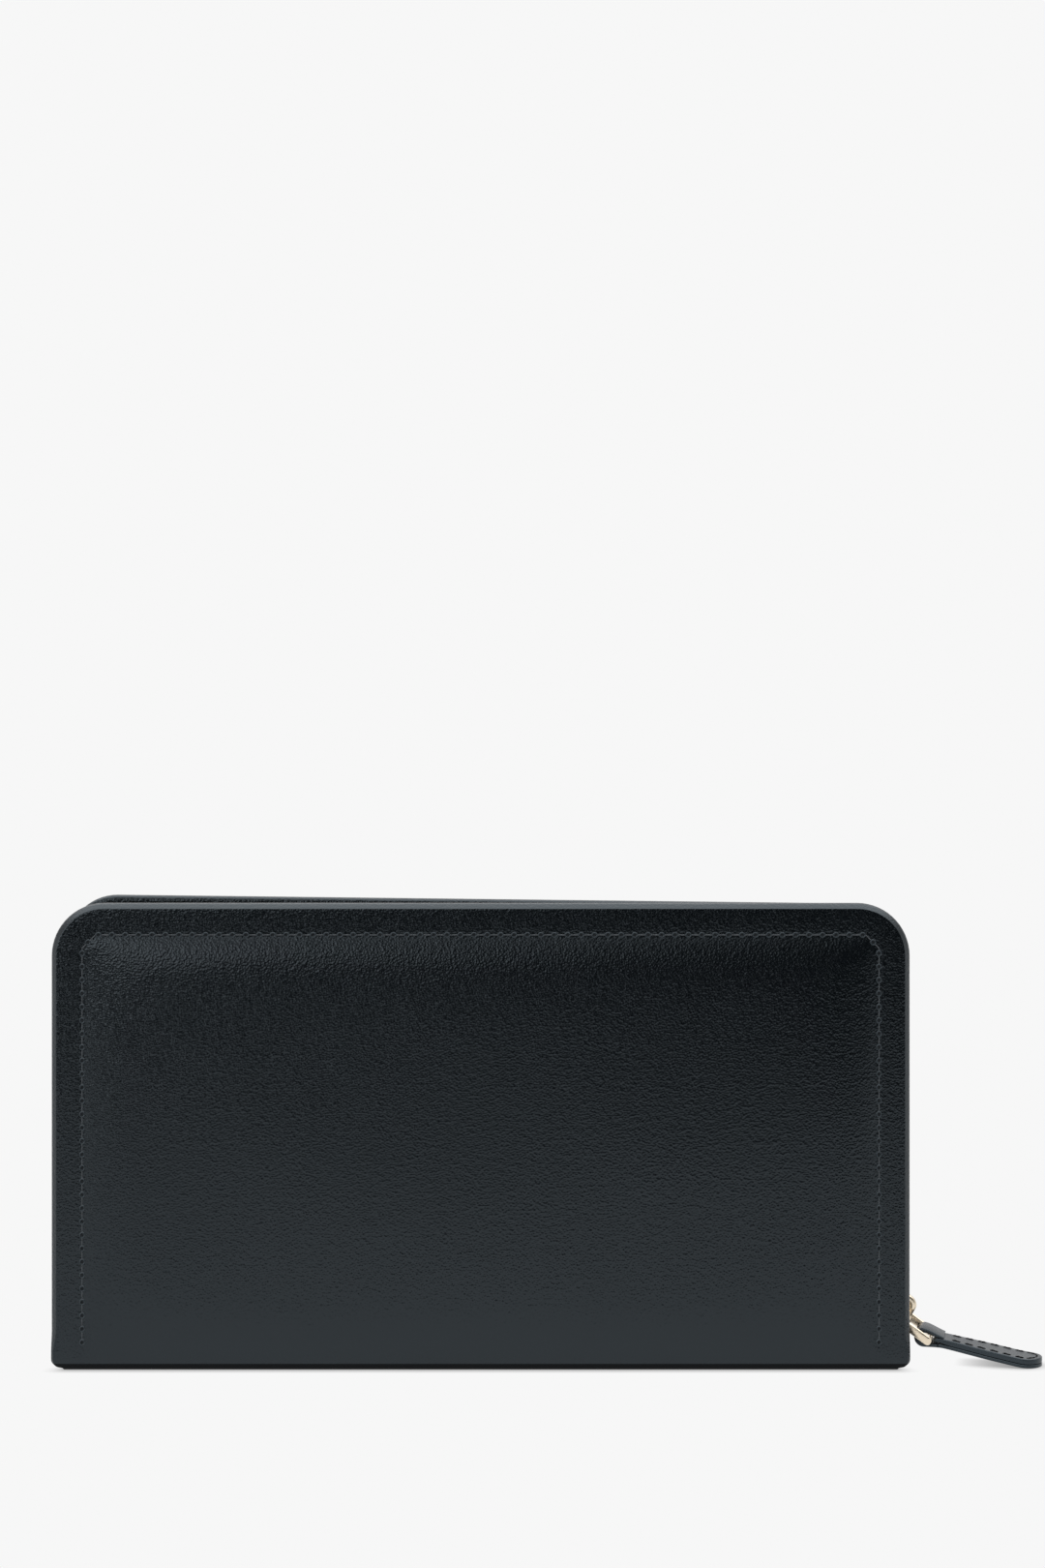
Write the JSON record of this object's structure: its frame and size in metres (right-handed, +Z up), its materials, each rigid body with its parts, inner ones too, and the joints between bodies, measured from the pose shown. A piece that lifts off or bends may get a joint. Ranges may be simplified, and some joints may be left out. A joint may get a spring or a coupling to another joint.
{
  "type": "zip around wallet",
  "caption": "Long black leather wallet standing on its spine, closed by a zip round three sides, with a leather pull, hinged covers, card pockets and a zipped coin pocket.",
  "frame": {"origin": "middle of the spine's underside, where the wallet stands", "axes": "+X along the wallet's width towards the slider's end, -Y out of the front cover, +Z up from the spine to the zip's top run"},
  "size_m": [0.2261, 0.024, 0.106],
  "materials": {
    "outer_leather": "smooth black calf leather, semi-matt, with a fine grain",
    "strap_leather": "smooth black leather with painted edges",
    "inner_leather": "thin smooth black leather, matt",
    "lining": "fine black woven lining",
    "zip_tape": "black woven polyester tape",
    "zip_metal": "pale gold plated, polished",
    "pale_gold_metal": "pale champagne gold plated, polished",
    "stitching": "twisted waxed thread",
    "edge_paint": "black edge paint, satin",
    "board": "bonded fibre board",
    "foam": "thin felted padding"
  },
  "bodies": {
    "core": {"spine_leather": "outer_leather", "spine_board": "board", "spine_lining": "lining", "coin_wall_front": "lining", "coin_wall_rear": "lining", "coin_pocket_strip": "lining", "coin_tape_front": "zip_tape", "coin_tape_rear": "zip_tape", "coin_teeth_front": "zip_metal", "coin_teeth_rear": "zip_metal", "coin_zip_stops": "zip_metal", "gusset_front_left": "lining", "gusset_front_right": "lining", "gusset_rear_left": "lining", "gusset_rear_right": "lining"},
    "front_cover": {"front_leather": "outer_leather", "front_foam": "foam", "front_board": "board", "front_lining": "lining", "front_card_panel": "inner_leather", "front_card_tier_high": "inner_leather", "front_card_tier_mid": "inner_leather", "front_card_tier_low": "inner_leather", "front_zip_tape": "zip_tape", "front_zip_teeth": "zip_metal", "front_zip_stops": "zip_metal"},
    "rear_cover": {"rear_leather": "outer_leather", "rear_foam": "foam", "rear_board": "board", "rear_lining": "lining", "rear_card_panel": "inner_leather", "rear_card_tier_high": "inner_leather", "rear_card_tier_mid": "inner_leather", "rear_card_tier_low": "inner_leather", "rear_zip_tape": "zip_tape", "rear_zip_teeth": "zip_metal", "rear_zip_stops": "zip_metal"},
    "front_note_divider": {"front_divider": "inner_leather"},
    "rear_note_divider": {"rear_divider": "inner_leather"},
    "zip_slider": {"slider_body": "pale_gold_metal", "slider_crown": "pale_gold_metal"},
    "link": {"pull_link": "pale_gold_metal"},
    "strap": {"pull_strap": "strap_leather", "pull_facing": "strap_leather"},
    "coin_slider": {"coin_slider_body": "pale_gold_metal", "coin_slider_crown": "pale_gold_metal"},
    "coin_zip_pull": {"coin_pull": "pale_gold_metal"}
  },
  "joints": [
    {"name": "front_cover_hinge", "type": "hinge", "parent": "core", "child": "front_cover", "pos_m": [0, -0.01, 0.002], "axis": [1, 0, 0], "range_deg": [0, 50], "deforming": ["gusset_front_left", "gusset_front_right"]},
    {"name": "rear_cover_hinge", "type": "hinge", "parent": "core", "child": "rear_cover", "pos_m": [0, 0.01, 0.002], "axis": [-1, 0, 0], "range_deg": [0, 50], "deforming": ["gusset_rear_left", "gusset_rear_right"]},
    {"name": "front_divider_fold", "type": "hinge", "parent": "core", "child": "front_note_divider", "pos_m": [0, -0.00515, 0.003], "axis": [1, 0, 0], "range_deg": [0, 25]},
    {"name": "rear_divider_fold", "type": "hinge", "parent": "core", "child": "rear_note_divider", "pos_m": [0, 0.00515, 0.003], "axis": [-1, 0, 0], "range_deg": [0, 25]},
    {"name": "zip_slide", "type": "slide", "parent": "front_cover", "child": "zip_slider", "axis": [0, 0, 1], "range_m": [0, 0.075], "deforming": ["front_zip_teeth", "rear_zip_teeth"]},
    {"name": "link_lift", "type": "hinge", "parent": "zip_slider", "child": "link", "pos_m": [0.09775, 0, 0.0096], "axis": [-0.2079, -0.9781, 0], "range_deg": [0, 50]},
    {"name": "strap_lift", "type": "hinge", "parent": "link", "child": "strap", "pos_m": [0.10368, -0.00126, 0.00536], "axis": [-0.2079, -0.9781, 0], "range_deg": [0, 35]},
    {"name": "coin_zip_slide", "type": "slide", "parent": "core", "child": "coin_slider", "axis": [-1, 0, 0], "range_m": [0, 0.144], "deforming": ["coin_teeth_front", "coin_teeth_rear"]},
    {"name": "coin_pull_swing", "type": "hinge", "parent": "coin_slider", "child": "coin_zip_pull", "pos_m": [0.072, 0, 0.08095], "axis": [0, 1, 0], "range_deg": [0, 178]}
  ],
  "couplings": [
    {"joint": "front_divider_fold", "follows": "front_cover_hinge", "ratio": 0.5},
    {"joint": "rear_divider_fold", "follows": "rear_cover_hinge", "ratio": 0.5}
  ]
}
